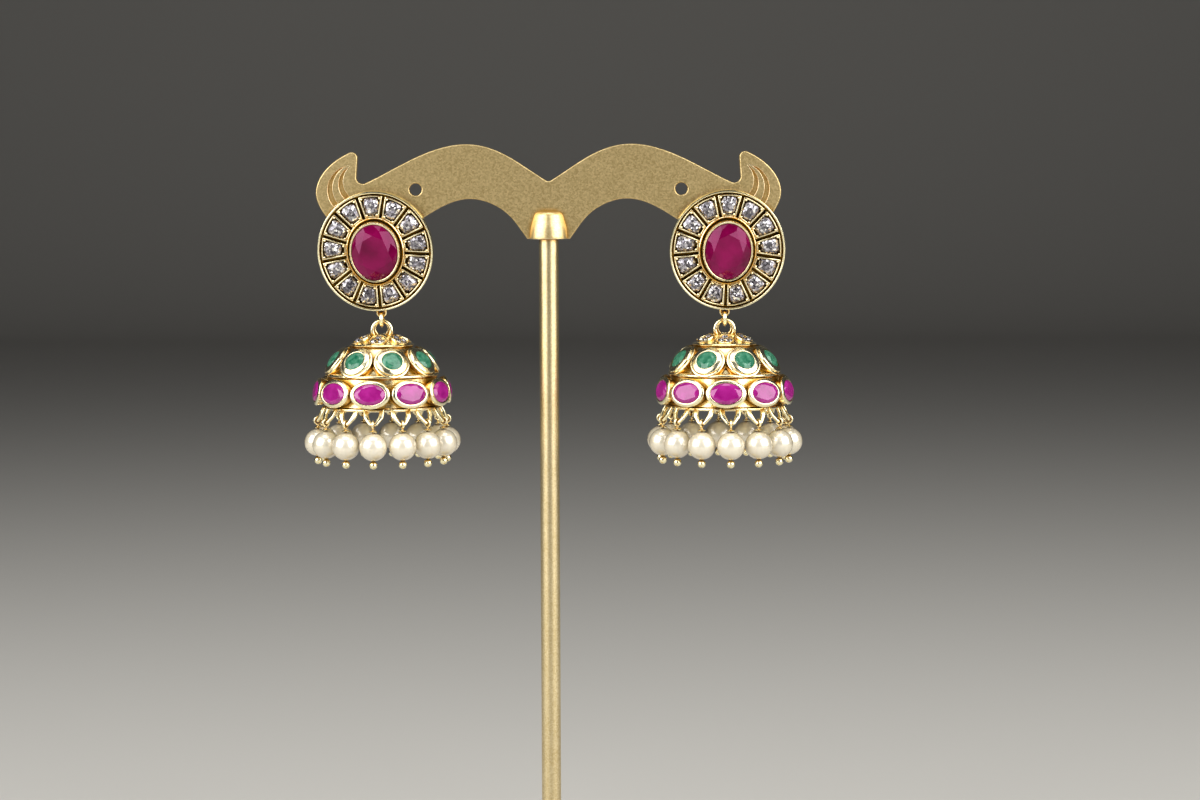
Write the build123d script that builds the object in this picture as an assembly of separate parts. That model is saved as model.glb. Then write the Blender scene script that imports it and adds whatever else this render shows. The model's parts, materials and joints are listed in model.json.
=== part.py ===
from build123d import *
import math
import os

# A pair of jhumka earrings on a small T-shaped display stand, in millimetres.
# +Z is up, the earrings face -Y, and the origin is the centre of the base's underside.
# Each earring: an oval stud on a straight ear post, a link ring, and a bell-shaped drop
# with two rows of set stones and a fringe of pearls on head pins.

# ---- display stand ----
stand_height = 125.0        # base underside to the crests of the crossbar
base_radius = 30.0
base_height = 4.0
base_edge = 1.2             # rounding of the base's upper edge
base_boss_radius = 4.0
base_boss_height = 3.0
pole_radius = 1.45
pole_socket_depth = 4.0
joint_gap = 0.05            # between pieces of the stand that are pressed or screwed together
bar_thickness = 1.6
bar_height = 14.1           # flat foot of the crossbar up to its crests
sink_depth = 0.18           # countersink of the four holes
bar_foot_half = 3.2         # half length of the flat foot
hole_radius = 0.9
inner_hole = (19.8, 7.4)    # x and height above the foot
outer_hole = (26.33, 3.1)   # carries an ear post
groove_depth = 0.3
collar_radius = 2.93
collar_height = 4.05
collar_top_radius = 1.6
collar_web = 0.6            # solid foot of the collar under the crossbar's notch
collar_web_half = 2.3

# ---- stud ----
stud_half_w = 8.6
stud_half_h = 8.95
stud_plate = 0.8
rim_width = 0.32
rim_height = 1.65
rim_groove = 0.25
cell_count = 13
cell_height = 1.55
cell_wall = 0.24
slot_width = 0.42
slot_reach = (2.0, 11.0)    # the bars that part the cells, from and to these radii
tray_floor = 0.35
hub_half_w = 4.35           # oval hub inside the ring of cells
hub_half_h = 5.15
bezel_foot = (3.95, 4.85)   # half axes of the centre stone's setting at its foot
bezel_wall = 0.16
ruby_half_w = 3.5
ruby_half_h = 4.25
ruby_girdle_z = 2.45        # above the stud's back
ruby_floor_z = 0.3
bezel_top_z = 2.7
stone_gap = 0.04            # round every set stone
stud_stone_z = 1.3
crystal = dict(half_w=1.04, half_h=1.25, table=0.55, crown=0.42, pavilion=0.8, girdle=0.08,
               fan=0.2, square=0.4)
crystal_reach = (5.98, 6.36)    # half axes of the oval that the small stones stand on
post_radius = 0.5           # root of the ear post, through the crossbar
post_root_length = 2.0
post_neck_length = 0.7      # taper from the root to the free end
post_end_radius = 0.4       # free end, where an ear clutch slides on
post_length = 11.0
post_rise = 4.5             # post above the middle of the stud
tilt = 7.0                  # the stud's face leans down, the weight of the drop pulls its foot back

# ---- link ring and its two eyes ----
eye_wire = 0.2              # wire radius of the fixed eye under the stud
eye_ring = 0.6              # centre line radius of that eye
eye_drop = 9.93             # stud middle to the lowest wire of that eye
eye_z = 0.55
link_wire = 0.3
link_ring_radius = 0.93
bail_wire = 0.31            # ring on top of the bell
bail_ring = 1.42
bail_web = 0.4              # thickness of the plate inside that ring
bail_hole = 0.83            # hole in the plate, its top flush with the ring
bail_tip = 1.3              # hole's middle to the point at its foot
hang_gap = 0.03

# ---- bell-shaped drop, heights above its lower rim ----
bail_top = 13.33
ruby_count = 10
band_ruby = dict(half_w=2.4, half_h=1.6, r=9.82, z=2.65, tilt=9.4)
ruby_lip = (0.57, 0.48)     # the cup reaches this far past the stone, sideways and upwards
emerald_count = 8
band_emerald = dict(half_w=1.58, half_h=1.58, r=7.33, z=7.4, tilt=38.0)
emerald_cup_radius = 2.65
emerald_lip_radius = 2.3
cup_lip = 0.12              # inner edge of a cup's slope, outside the stone
bell_gap = dict(r=7.75, z=6.0, tilt=41.0)
leaf_count = 6
leaf = dict(half_l=1.45, half_w=1.28, r=3.1, z=10.0, tilt=64.6, thick=0.5)
leaf_stones = [(0.5, 0.57), (0.5, -0.57), (-0.6, 0.0)]   # radial and tangential place in a leaf
leaf_stone_radius = 0.5

# ---- pearl fringe ----
pearl_count = 14
pearl_radius = 2.05
pearl_ring = 9.68
pearl_z = -5.05
pearl_bore = 0.3
loop_wire = 0.25
loop_root_r = 8.72
loop_lean = 29.0
loop_depth = 2.0
loop_top_half = 1.2
loop_side = (1.12, 0.75)    # half width of the loop at this depth, where its arms turn inwards
loop_side_bend = 0.9
loop_foot_half = 0.42
loop_foot_bend = 0.4
pin_wire = 0.17
pin_eye = 0.5
pin_eye_z = -1.78
pin_cap_radius = 0.6
pin_cap_height = 0.22
pin_ball = 0.6
pin_ball_sink = 0.08        # the ball rises this far into the mouth of the bore
loose_gap = 0.1

# one row for each earring: middle of the stud, sideways splay, roll, and the turns of the bell
earrings = [
    dict(side="left", x=-25.72, z=109.32, splay=-1.5, roll=4.0, rubies=-4.8, pearls=-2.3),
    dict(side="right", x=26.55, z=109.32, splay=1.5, roll=-1.8, rubies=-2.8, pearls=1.3),
]
stud_back_y = -0.7          # back of the stud at its middle


def save(node, solid):
    solid.label = node
    export_step(solid, "parts/" + node + ".step")


def polar(count, start=0.0):
    return [start + i * 360.0 / count for i in range(count)]


# ---------------------------------------------------------------- display stand

def stand_base():
    disc = Pos(0, 0, base_height / 2) * Cylinder(base_radius, base_height)
    disc = fillet(disc.edges().filter_by(GeomType.CIRCLE).sort_by(Axis.Z)[-1], base_edge)
    boss_z = base_height + base_boss_height / 2
    boss = Pos(0, 0, boss_z) * Cone(base_boss_radius, pole_radius + 0.9, base_boss_height)
    socket_z = base_height + base_boss_height - pole_socket_depth
    socket = Pos(0, 0, socket_z + 5) * Cylinder(pole_radius + joint_gap, 10)
    return disc + boss - socket


def stand_pole(bar_z):
    foot = base_height + base_boss_height - pole_socket_depth + joint_gap
    length = bar_z - joint_gap - foot
    return Pos(0, 0, foot + length / 2) * Cylinder(pole_radius, length)


def stand_collar(bar_z):
    with BuildPart() as knob:
        with BuildSketch(Plane.XZ):
            with BuildLine():
                Polyline((0, 0), (collar_radius, 0), (collar_radius - 0.08, 1.3))
                Spline((collar_radius - 0.08, 1.3), (collar_radius - 0.45, 2.9),
                       (collar_top_radius, collar_height), tangents=[(-0.05, 1), (-1, 0.1)])
                Polyline((collar_top_radius, collar_height), (0, collar_height), (0, 0))
            make_face()
        revolve(axis=Axis.Z)
    slot = bar_thickness + 2 * joint_gap
    knob_solid = knob.part - Pos(0, 0, collar_web + 5) * Box(12, slot, 10)
    for side in (-1, 1):
        cheek = Pos(side * (collar_web_half + 5), 0, 0) * Box(10, slot, 2.2)
        knob_solid = knob_solid - cheek
    return Pos(0, 0, bar_z) * knob_solid


def crossbar_outline():
    # right half, from the valley over the crest to the horn, then back under the arch
    crest = [(0.35, 8.7), (3.4, 10.7), (8.65, 13.5), (11.9, bar_height), (17.2, 13.2),
             (22.5, 10.8), (27.2, 8.4)]
    horn = [(29.5, 12.95), (30.6, 12.4), (32.6, 10.95), (34.1, 9.0), (34.65, 6.9),
            (34.2, 5.1), (33.2, 3.5)]
    lobe = [(33.2, 3.5), (30.6, 1.2), (26.9, 0.15), (22.6, 0.95), (18.8, 3.1), (14.3, 5.5),
            (11.7, 5.97), (9.3, 5.55), (7.2, 4.55), (5.5, 3.1), (4.25, 1.5), (bar_foot_half, 0)]
    with BuildSketch() as half:
        with BuildLine():
            Line((0, 0), (0, 8.6))
            ThreePointArc((0, 8.6), (0.18, 8.62), crest[0])
            Spline(*crest)
            ThreePointArc(crest[-1], (28.1, 8.4), (28.6, 9.2))
            Line((28.6, 9.2), (28.4, 12.0))
            ThreePointArc((28.4, 12.0), (28.7, 12.75), horn[0])
            Spline(*horn)
            Spline(*lobe)
            Line(lobe[-1], (0, 0))
        make_face()
    return half.sketch


def horn_grooves():
    # two crescents that meet under the tip of the horn
    rows = [
        dict(tip=(30.1, 10.9), outer=(32.9, 7.2), foot=(32.0, 4.9), heel=(31.3, 5.3), inner=(32.15, 7.7)),
        dict(tip=(29.7, 10.75), outer=(31.25, 8.4), foot=(30.3, 6.0), heel=(29.6, 6.4), inner=(30.55, 8.3)),
    ]
    cuts = []
    for row in rows:
        with BuildSketch() as crescent:
            with BuildLine():
                ThreePointArc(row["tip"], row["outer"], row["foot"])
                Line(row["foot"], row["heel"])
                ThreePointArc(row["heel"], row["inner"], row["tip"])
            make_face()
        cuts.append(crescent.sketch)
    return cuts


def stand_crossbar(bar_z):
    front = Plane.XZ
    right = crossbar_outline()
    half = extrude(front * right, bar_thickness / 2, both=True)
    bar = half + mirror(half, Plane.YZ)
    notch = collar_web_half + joint_gap
    bar = bar - Box(2 * notch, 4, 2 * (collar_web + joint_gap))
    sink = Cone(hole_radius, hole_radius + 0.6, 0.6)
    sink_y = bar_thickness / 2 + 0.3 - sink_depth
    for sx in (-1, 1):
        for x, z in (inner_hole, outer_hole):
            hole = Pos(sx * x, 0, z) * Rot(90, 0, 0) * Cylinder(hole_radius, 4)
            bar = bar - hole
            for side in (-1, 1):
                bar = bar - Pos(sx * x, side * sink_y, z) * Rot(-90 * side, 0, 0) * sink
    for cut in horn_grooves():
        front_cut = extrude(Plane.XZ.offset(bar_thickness / 2 - groove_depth) * cut, 2)
        bar = bar - front_cut - mirror(front_cut, Plane.YZ)
    return Pos(0, 0, bar_z) * bar


# ---------------------------------------------------------------- cut stones

def polyhedron(points, loops):
    faces = [Face(Wire.make_polygon([Vector(*points[i]) for i in loop], close=True)) for loop in loops]
    return Solid(Shell(faces))


def filled(value, square):
    # a sine or cosine drawn towards 1, which turns an oval into a cushion
    return math.copysign(abs(value) ** (1 - square), value)


def ring_points(half_w, half_h, scale_by, height, half_step, fan=0.0, square=0.0):
    # eight points; fan widens the stone towards +Y and keeps every facet flat
    out = []
    for k in range(8):
        a = (k + 0.5 * half_step) * math.pi / 4
        y = half_h * scale_by * filled(math.sin(a), square)
        shrink = 1 - fan * y
        out.append((half_w * scale_by * filled(math.cos(a), square) / shrink, y / shrink, height / shrink))
    return out


def halves(facet):
    # a cushion's four-sided facets aren't flat, so each is two triangles
    return [facet[:3], [facet[0], facet[2], facet[3]]]


def brilliant(half_w, half_h, table, crown, pavilion, girdle, fan=0.0, square=0.0):
    # table, 8 stars, 8 kites, 16 upper and 16 lower girdle facets, 8 pavilion mains
    reach = math.cos(math.pi / 8)
    star = 0.5 * (table + 1)
    star_z = girdle / 2 + crown * (1 - star * reach) / (1 - table)
    low = 0.25
    low_z = -girdle / 2 - pavilion * (1 - low * reach)
    rows = [(table, girdle / 2 + crown, 0), (star, star_z, 1), (1, girdle / 2, 0),
            (1, girdle / 2, 1), (1, -girdle / 2, 0), (1, -girdle / 2, 1), (low, low_z, 1)]
    points = []
    for scale_by, height, half_step in rows:
        points += ring_points(half_w, half_h, scale_by, height, half_step, fan, square)
    points.append((0, 0, -girdle / 2 - pavilion))
    t, s, a, b, c, d, e = [8 * i for i in range(7)]
    culet = 56
    loops = [[t + k for k in range(8)]]
    for k in range(8):
        n = (k + 1) % 8
        p = (k - 1) % 8
        loops += [[t + k, s + k, t + n], [a + k, b + k, s + k], [b + k, a + n, s + k],
                  [a + k, c + k, d + k, b + k], [b + k, d + k, c + n, a + n],
                  [c + k, e + k, d + k], [d + k, e + k, c + n]]
        kite = [t + k, s + p, a + k, s + k]
        main = [c + k, e + p, culet, e + k]
        loops += halves(kite) + halves(main) if square else [kite, main]
    return polyhedron(points, loops)


def single_cut(radius, table, crown, pavilion, girdle):
    # table, 8 crown and 8 pavilion facets
    rows = [(table, girdle / 2 + crown), (1, girdle / 2), (1, -girdle / 2)]
    points = []
    for scale_by, height in rows:
        points += ring_points(radius, radius, scale_by, height, 0)
    points.append((0, 0, -girdle / 2 - pavilion))
    loops = [[k for k in range(8)]]
    for k in range(8):
        n = (k + 1) % 8
        loops += [[k, 8 + k, 8 + n, n], [8 + k, 16 + k, 16 + n, 8 + n], [16 + k, 24, 16 + n]]
    return polyhedron(points, loops)


# ---------------------------------------------------------------- stud, modelled lying on its back

def oval(half_w, half_h):
    return Ellipse(half_w, half_h)


def oval_ring(outer_w, outer_h, width):
    return oval(outer_w, outer_h) - oval(outer_w - width, outer_h - width)


def spokes(width):
    # straight bars between the cells, one of them pointing down
    bars = Sketch()
    inner, outer = slot_reach
    for angle in polar(cell_count, -90.0):
        bars += Rot(0, 0, angle) * Pos((inner + outer) / 2, 0) * Rectangle(outer - inner, width)
    return bars


def stud_frame():
    field_w = stud_half_w - rim_width - rim_groove
    field_h = stud_half_h - rim_width - rim_groove
    plate = extrude(oval(stud_half_w, stud_half_h), stud_plate)
    rim = extrude(oval_ring(stud_half_w, stud_half_h, rim_width), rim_height)
    field = oval(field_w, field_h) - oval(hub_half_w, hub_half_h)
    cells = extrude(field - spokes(slot_width), cell_height)
    hub = extrude(oval(hub_half_w + 0.01, hub_half_h + 0.01), cell_height)
    bezel = loft([Plane.XY.offset(cell_height - 0.1) * oval(*bezel_foot),
                  Plane.XY.offset(bezel_top_z) * oval(ruby_half_w + bezel_wall, ruby_half_h + bezel_wall)])
    frame = plate + rim + cells + hub + bezel
    tray = oval(field_w - cell_wall, field_h - cell_wall) - oval(hub_half_w + cell_wall, hub_half_h + cell_wall)
    tray = tray - spokes(slot_width + 2 * cell_wall)
    frame = frame - extrude(Plane.XY.offset(tray_floor) * tray, 2)
    seat = extrude(Plane.XY.offset(ruby_floor_z) * oval(ruby_half_w + stone_gap, ruby_half_h + stone_gap),
                   ruby_girdle_z + 0.1 - ruby_floor_z)
    lip = loft([Plane.XY.offset(ruby_girdle_z + 0.1) * oval(ruby_half_w + stone_gap, ruby_half_h + stone_gap),
                Plane.XY.offset(bezel_top_z + 0.05) * oval(ruby_half_w - 0.1, ruby_half_h - 0.1)])
    frame = frame - seat - lip
    eye = Pos(0, -(eye_drop - eye_ring), eye_z) * Torus(eye_ring, eye_wire)
    frame = frame + eye
    post = Pos(0, post_rise, -post_length / 2) * Cylinder(post_end_radius, post_length)
    post = fillet(post.edges().sort_by(Axis.Z)[0], 0.25)
    root = Pos(0, post_rise, -post_root_length / 2) * Cylinder(post_radius, post_root_length)
    neck_z = -post_root_length - post_neck_length / 2
    neck = Pos(0, post_rise, neck_z) * Cone(post_end_radius, post_radius, post_neck_length)
    return frame + (post + root + neck)


def stud_ruby():
    stone = brilliant(ruby_half_w, ruby_half_h, 0.62, 1.05, 1.9, 0.14)
    return Pos(0, 0, ruby_girdle_z) * stone


def stud_crystals():
    stones = []
    reach_w, reach_h = crystal_reach
    for angle in polar(cell_count, 90.0):
        a = math.radians(angle)
        reach = 1 / math.hypot(math.cos(a) / reach_w, math.sin(a) / reach_h)
        stone = brilliant(**crystal)
        stones.append(Rot(0, 0, angle - 90) * Pos(0, reach, stud_stone_z) * stone)
    return Compound(children=stones)


# ---------------------------------------------------------------- bell-shaped drop

def on_bell(row, angle):
    # a frame on the bell: +Z out of the stone's face, +Y up the wall, +X along the row
    a = math.radians(angle)
    tilt_up = math.radians(row["tilt"])
    out = Vector(math.sin(a), -math.cos(a), 0)
    normal = out * math.cos(tilt_up) + Vector(0, 0, math.sin(tilt_up))
    along = Vector(math.cos(a), math.sin(a), 0)
    return Plane(origin=out * row["r"] + Vector(0, 0, row["z"]), x_dir=along, z_dir=normal).location


def bell_wall():
    # rim band, straight lower wall, middle ridge, sloped shoulder, upper ring and crown
    outer = [(8.9, 0), (8.9, 0.4), (8.55, 0.55), (8.15, 4.75), (8.45, 4.87), (8.45, 5.27),
             (7.95, 5.37), (4.5, 9.22), (4.78, 9.3), (4.72, 9.63), (4.3, 9.7), (1.6, 10.76),
             (0.95, 11.0), (0, 11.0)]
    inner = [(0, 9.95), (1.6, 9.95), (3.9, 8.95), (7.3, 5.15), (7.5, 4.6), (8.1, 0)]
    with BuildPart() as wall:
        with BuildSketch(Plane.XZ):
            with BuildLine():
                Polyline(*outer, *inner, outer[0])
            make_face()
        revolve(axis=Axis.Z)
    return wall.part


def ruby_cup():
    w = band_ruby["half_w"]
    h = band_ruby["half_h"]
    lip_w, lip_h = ruby_lip
    body = loft([Plane.XY.offset(-1.5) * oval(w + 0.1, h + 0.1),
                 Plane.XY.offset(-0.15) * oval(w + lip_w, h + lip_h)])
    bevel = loft([Plane.XY.offset(-0.15) * oval(w + lip_w, h + lip_h),
                  Plane.XY.offset(0.14) * oval(w + cup_lip, h + cup_lip)])
    return body + bevel


def emerald_cup():
    body = Pos(0, 0, -0.95) * Cylinder(emerald_cup_radius, 1.1)
    step = Pos(0, 0, -0.27) * Cone(emerald_lip_radius + 0.05, emerald_lip_radius, 0.3)
    bevel = Pos(0, 0, 0.01) * Cone(emerald_lip_radius, band_emerald["half_w"] + cup_lip, 0.26)
    return body + step + bevel


def stone_seat(row, depth, lip):
    w = row["half_w"] + stone_gap
    h = row["half_h"] + stone_gap
    well = extrude(Plane.XY.offset(-depth) * oval(w, h), depth + 0.06)
    throat = loft([Plane.XY.offset(0.06) * oval(w, h), Plane.XY.offset(lip) * oval(w - 0.1, h - 0.1)])
    return well + throat


def leaf_panel():
    pad = extrude(Plane.XY.offset(-0.5) * oval(leaf["half_w"], leaf["half_l"]), 0.5 + leaf["thick"])
    for radial, tangential in leaf_stones:
        well = Pos(tangential, -radial, leaf["thick"] - 0.12) * Cylinder(leaf_stone_radius + 0.06, 0.5)
        pad = pad - well
    return pad


def rim_loop():
    # an open tulip-shaped loop of wire in the plane of the wall, soldered to the rim by both ends
    side_half, side_depth = loop_side
    path = FilletPolyline((-loop_top_half, 0.35), (-side_half, -side_depth), (-loop_foot_half, -loop_depth),
                          (loop_foot_half, -loop_depth), (side_half, -side_depth), (loop_top_half, 0.35),
                          radius=[loop_side_bend, loop_foot_bend, loop_foot_bend, loop_side_bend])
    section = Plane(origin=path @ 0, z_dir=path % 0) * Circle(loop_wire)
    return sweep(section, path=path)


def gap_cut():
    # the triangular opening between two emerald cups and the middle ridge
    with BuildSketch() as hole:
        with BuildLine():
            Polyline((-0.75, -0.55), (0.75, -0.55), (0, 0.75), (-0.75, -0.55))
        make_face()
    return extrude(Plane.XY.offset(-3) * hole.sketch, 5)


def bail():
    # a wire ring with a plate inside it, pierced by a drop-shaped hole
    plate = Rot(90, 0, 0) * Cylinder(bail_ring + bail_wire / 3, bail_web)
    hole_z = bail_ring - bail_wire - bail_hole
    with BuildSketch() as drop:
        with Locations((0, hole_z)):
            Circle(bail_hole)
        half_angle = math.acos(bail_hole / bail_tip)
        side_x = bail_hole * math.sin(half_angle)
        side_y = hole_z - bail_hole * math.cos(half_angle)
        with BuildLine():
            Polyline((-side_x, side_y), (0, hole_z - bail_tip), (side_x, side_y), (0, hole_z), (-side_x, side_y))
        make_face()
    hole = extrude(Plane.XZ * drop.sketch, bail_web, both=True)
    ring = Rot(90, 0, 0) * Torus(bail_ring, bail_wire)
    return Pos(0, 0, bail_top - bail_ring - bail_wire) * (ring + (plate - hole))


def dome_shell(turn, pearl_turn):
    bell = bell_wall()
    parts = []
    cuts = []
    for angle in polar(ruby_count, turn):
        parts.append(on_bell(band_ruby, angle) * ruby_cup())
        cuts.append(on_bell(band_ruby, angle) * stone_seat(band_ruby, 1.0, 0.2))
    for angle in polar(emerald_count, turn + 22.5):
        parts.append(on_bell(band_emerald, angle) * emerald_cup())
        cuts.append(on_bell(band_emerald, angle) * stone_seat(band_emerald, 1.0, 0.2))
    for angle in polar(emerald_count, turn):
        cuts.append(on_bell(bell_gap, angle) * gap_cut())
    for angle in polar(leaf_count, turn):
        parts.append(on_bell(leaf, angle) * leaf_panel())
    for angle in polar(pearl_count, pearl_turn):
        seat = on_bell(dict(r=loop_root_r, z=0.0, tilt=loop_lean), angle)
        parts.append(seat * rim_loop())
    parts.append(bail())
    bell = bell.fuse(*parts)
    return bell.cut(*cuts)


def band_rubies(turn):
    w = band_ruby["half_w"]
    h = band_ruby["half_h"]
    stone = brilliant(w, h, 0.7, 0.4, 0.75, 0.08)
    return [on_bell(band_ruby, angle) * stone for angle in polar(ruby_count, turn)]


def band_emeralds(turn):
    w = band_emerald["half_w"]
    stone = brilliant(w, w, 0.6, 0.36, 0.75, 0.08)
    return [on_bell(band_emerald, angle) * stone for angle in polar(emerald_count, turn + 22.5)]


def crown_crystals(turn):
    stone = single_cut(leaf_stone_radius, 0.55, 0.16, 0.26, 0.04)
    stones = []
    for angle in polar(leaf_count, turn):
        for radial, tangential in leaf_stones:
            seat = Pos(tangential, -radial, leaf["thick"] - 0.02)
            stones.append(on_bell(leaf, angle) * seat * stone)
    return Compound(children=stones)


def pearl_place(angle):
    a = math.radians(angle)
    return Pos(pearl_ring * math.sin(a), -pearl_ring * math.cos(a), 0) * Rot(0, 0, angle)


def pearls(turn):
    pearl = Sphere(pearl_radius) - Cylinder(pearl_bore, 6)
    return Compound(children=[pearl_place(angle) * Pos(0, 0, pearl_z) * pearl
                              for angle in polar(pearl_count, turn)])


def pearl_pin():
    # eye in the radial plane, a flat cap over the pearl, the stem through it and a ball below
    eye = Pos(0, 0, pin_eye_z) * Rot(0, 90, 0) * Torus(pin_eye, pin_wire)
    cap_top = pearl_z + pearl_radius + loose_gap + pin_cap_height
    cap = Pos(0, 0, cap_top - pin_cap_height / 2) * Cylinder(pin_cap_radius, pin_cap_height)
    ball_z = pearl_z - pearl_radius - loose_gap - pin_ball + pin_ball_sink
    stem_top = pin_eye_z - pin_eye
    stem = Pos(0, 0, (stem_top + ball_z) / 2) * Cylinder(pin_wire, stem_top - ball_z)
    return eye + cap + stem + Pos(0, 0, ball_z) * Sphere(pin_ball)


def pearl_pins(turn):
    pin = pearl_pin()
    return Compound(children=[pearl_place(angle) * pin for angle in polar(pearl_count, turn)])


# ---------------------------------------------------------------- assembly of one earring

def stud_location(row):
    place = Pos(row["x"], stud_back_y, row["z"]) * Rot(0, 0, row["splay"])
    return place * Rot(90 + tilt, 0, 0) * Rot(0, 0, row["roll"])


def hang_point(row):
    # centre of the wire at the lowest point of the eye under the stud
    local = Pos(0, -(eye_drop - eye_ring), eye_z)
    middle = (stud_location(row) * local).position
    normal = Vector(0, -math.cos(math.radians(tilt)), -math.sin(math.radians(tilt)))
    down = Vector(0, 0, -1) - normal * (Vector(0, 0, -1).dot(normal))
    down = down.normalized().rotate(Axis.Z, row["splay"])
    return middle + down * eye_ring


def link_ring(row):
    top = hang_point(row)
    middle = top + Vector(0, 0, eye_wire + link_wire + hang_gap - link_ring_radius)
    return Pos(*middle) * Rot(0, 0, row["splay"]) * Rot(0, 90, 0) * Torus(link_ring_radius, link_wire)


def drop_location(row):
    top = hang_point(row)
    foot = top.Z + eye_wire + link_wire + hang_gap - 2 * link_ring_radius
    bail = foot + link_wire + bail_wire + hang_gap
    rim = bail + bail_wire - bail_top
    return Pos(top.X, top.Y, rim) * Rot(0, 0, row["splay"]), foot


def build_earring(row):
    side = row["side"] + "_"
    stud = stud_location(row)
    save(side + "stud_frame", stud * stud_frame())
    save(side + "stud_ruby", stud * stud_ruby())
    save(side + "stud_crystals", stud * stud_crystals())
    save(side + "link_ring", link_ring(row))
    drop, foot = drop_location(row)
    save(side + "dome_shell", drop * dome_shell(row["rubies"], row["pearls"]))
    for i, stone in enumerate(band_rubies(row["rubies"]), start=1):
        save(side + "ruby_%02d" % i, drop * stone)
    for i, stone in enumerate(band_emeralds(row["rubies"]), start=1):
        save(side + "emerald_%02d" % i, drop * stone)
    save(side + "crown_crystals", drop * crown_crystals(row["rubies"]))
    save(side + "pearls", drop * pearls(row["pearls"]))
    save(side + "pearl_pins", drop * pearl_pins(row["pearls"]))
    top = hang_point(row)
    post = (stud * Pos(0, post_rise, -post_length)).position
    print(row["side"], "eye wire", tuple(top), "link foot z", foot, "rim z", drop.position.Z, "post", tuple(post))


def main():
    os.makedirs("parts", exist_ok=True)
    bar_z = stand_height - bar_height
    save("stand_base", stand_base())
    save("stand_pole", stand_pole(bar_z))
    save("stand_collar", stand_collar(bar_z))
    save("stand_crossbar", stand_crossbar(bar_z))
    for row in earrings:
        build_earring(row)


main()
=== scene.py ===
import bpy
import bmesh
import json
import math
from mathutils import Matrix, Vector


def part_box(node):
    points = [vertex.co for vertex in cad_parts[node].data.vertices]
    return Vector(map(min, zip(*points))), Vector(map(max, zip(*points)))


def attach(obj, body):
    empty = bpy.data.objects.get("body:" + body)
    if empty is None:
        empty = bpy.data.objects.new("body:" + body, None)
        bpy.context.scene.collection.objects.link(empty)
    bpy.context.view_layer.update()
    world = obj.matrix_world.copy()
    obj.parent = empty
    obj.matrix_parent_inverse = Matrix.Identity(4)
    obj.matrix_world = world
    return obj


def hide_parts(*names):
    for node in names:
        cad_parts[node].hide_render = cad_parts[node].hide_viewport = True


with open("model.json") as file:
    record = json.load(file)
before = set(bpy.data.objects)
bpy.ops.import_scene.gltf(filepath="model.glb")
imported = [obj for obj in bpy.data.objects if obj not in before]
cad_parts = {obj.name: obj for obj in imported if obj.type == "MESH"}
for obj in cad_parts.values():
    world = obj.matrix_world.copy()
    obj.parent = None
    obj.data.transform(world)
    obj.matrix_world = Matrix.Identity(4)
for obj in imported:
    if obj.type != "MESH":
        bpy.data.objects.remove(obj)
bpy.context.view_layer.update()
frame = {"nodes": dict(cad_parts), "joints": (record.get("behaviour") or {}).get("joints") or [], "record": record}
record = frame["record"]
nodes = frame["nodes"]
mm = 0.001
mergeWithin = 0.002 * mm                 # corners nearer than this become one
print("frame loaded:", len(nodes), "nodes")


# places are read from the frame
def listed(name, rows):
    return next(row for row in rows if row["name"] == name)


def frameOf(xAxis, yAxis, zAxis, origin):
    rows = [[xAxis[i], yAxis[i], zAxis[i], origin[i]] for i in range(3)]
    return Matrix(rows + [[0, 0, 0, 1]])


# how each earring happens to hang: roll of the stud, turn of the bell and of its pearls, in degrees
earrings = {
    "left": {"roll": 4.0, "bellTurn": -4.8, "pearlTurn": -2.3},
    "right": {"roll": -1.8, "bellTurn": -2.8, "pearlTurn": 1.3},
}
postMiddle = Vector((0, 4.5, -6.725))   # middle of the ear post's free end, seen from the stud's middle
pearlDrop = 5.05                         # pearl centres under the bell's rim
sharpAngle = 38                          # degrees; edges bent further than this stay crisp


def studPlace(side):
    # millimetres, lying on its back with the face up, to the stud's place on the stand
    post = listed(side + "_ear_post", record["mounts"])
    hinge = listed(side + "_link_swing", frame["joints"])
    zAxis = -Vector(post["axis"]).normalized()
    xAxis = Vector(hinge["axis"]).normalized()
    turned = frameOf(xAxis, zAxis.cross(xAxis), zAxis, (0, 0, 0))
    turned = turned @ Matrix.Rotation(math.radians(earrings[side]["roll"]), 4, "Z")
    origin = Vector(post["pos_m"]) - (turned @ postMiddle) * mm
    return Matrix.Translation(origin) @ turned @ Matrix.Scale(mm, 4)


def bellPlace(side):
    # millimetres above the middle of the bell's rim
    hinge = listed(side + "_drop_swing", frame["joints"])
    low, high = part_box(side + "_pearls")
    rim = (low.z + high.z) / 2 + pearlDrop * mm
    yAxis = Vector(hinge["axis"]).normalized()
    zAxis = Vector((0, 0, 1))
    origin = (hinge["pos_m"][0], hinge["pos_m"][1], rim)
    return frameOf(yAxis.cross(zAxis), yAxis, zAxis, origin) @ Matrix.Scale(mm, 4)


# small tools for meshes, all in millimetres
def newShape():
    return {"points": [], "faces": []}


def addRows(shape, rows, place, ring=False):
    # rows of equally many points, joined by quads; a ring of rows closes on itself, others are capped
    base = len(shape["points"])
    steps = len(rows[0])
    for row in rows:
        shape["points"] += [place @ Vector(p) for p in row]
    for r in range(len(rows) if ring else len(rows) - 1):
        a = base + r * steps
        b = base + ((r + 1) % len(rows)) * steps
        for k in range(steps):
            n = (k + 1) % steps
            shape["faces"].append((a + k, a + n, b + n, b + k))
    if not ring:
        last = base + (len(rows) - 1) * steps
        shape["faces"].append(tuple(base + k for k in reversed(range(steps))))
        shape["faces"].append(tuple(last + k for k in range(steps)))


def ovalRow(halfW, halfH, z, steps):
    return [(halfW * math.cos(2 * math.pi * k / steps), halfH * math.sin(2 * math.pi * k / steps), z)
            for k in range(steps)]


def lathe(profile, steps):
    return [ovalRow(r, r, z, steps) for r, z in profile]


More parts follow.
